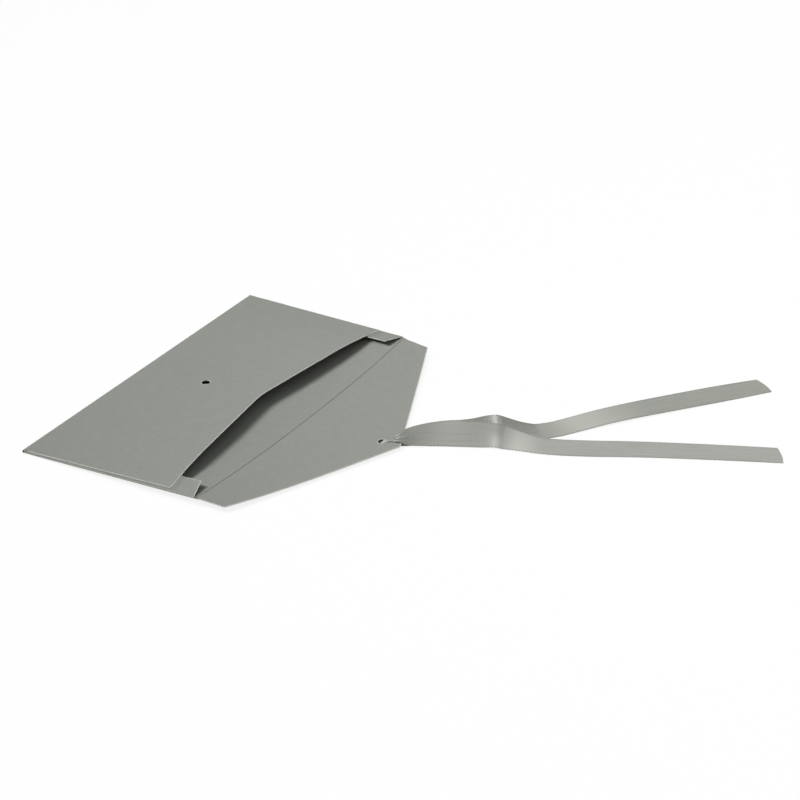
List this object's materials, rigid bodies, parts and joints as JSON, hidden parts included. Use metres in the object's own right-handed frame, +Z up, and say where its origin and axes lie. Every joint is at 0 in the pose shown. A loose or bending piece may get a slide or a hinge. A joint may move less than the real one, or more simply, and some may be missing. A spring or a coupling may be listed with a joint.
{
  "type": "string tie envelope",
  "caption": "Long card envelope with an open pointed flap, glued side flaps, a punched tie hole in front and a ribbon threaded through the flap.",
  "frame": {"origin": "on the table, under the middle of the card with its flap open", "axes": "+X across the width, +Y from the bottom fold to the point of the flap, +Z up"},
  "size_m": [0.2842, 0.3517, 0.0103],
  "materials": {
    "card": "uncoated grey-green card, fine tooth, matt",
    "glue": "dried white glue, thin film",
    "ribbon": "woven satin ribbon with firm selvedges"
  },
  "bodies": {
    "pocket": {"back_panel": "card", "front_panel": "card", "left_side_flap": "card", "right_side_flap": "card", "left_glue_strip": "glue", "right_glue_strip": "glue", "mouth_crease": "card"},
    "flap": {"closing_flap": "card", "ribbon_gather": "ribbon", "ribbon_upper_end": "ribbon", "ribbon_lower_end": "ribbon"}
  },
  "joints": [
    {"name": "flap_fold", "type": "hinge", "parent": "pocket", "child": "flap", "pos_m": [0, 0.0248, 0.0056], "axis": [1, 0, 0], "range_deg": [0, 180], "deforming": ["mouth_crease", "ribbon_upper_end", "ribbon_lower_end"]}
  ]
}
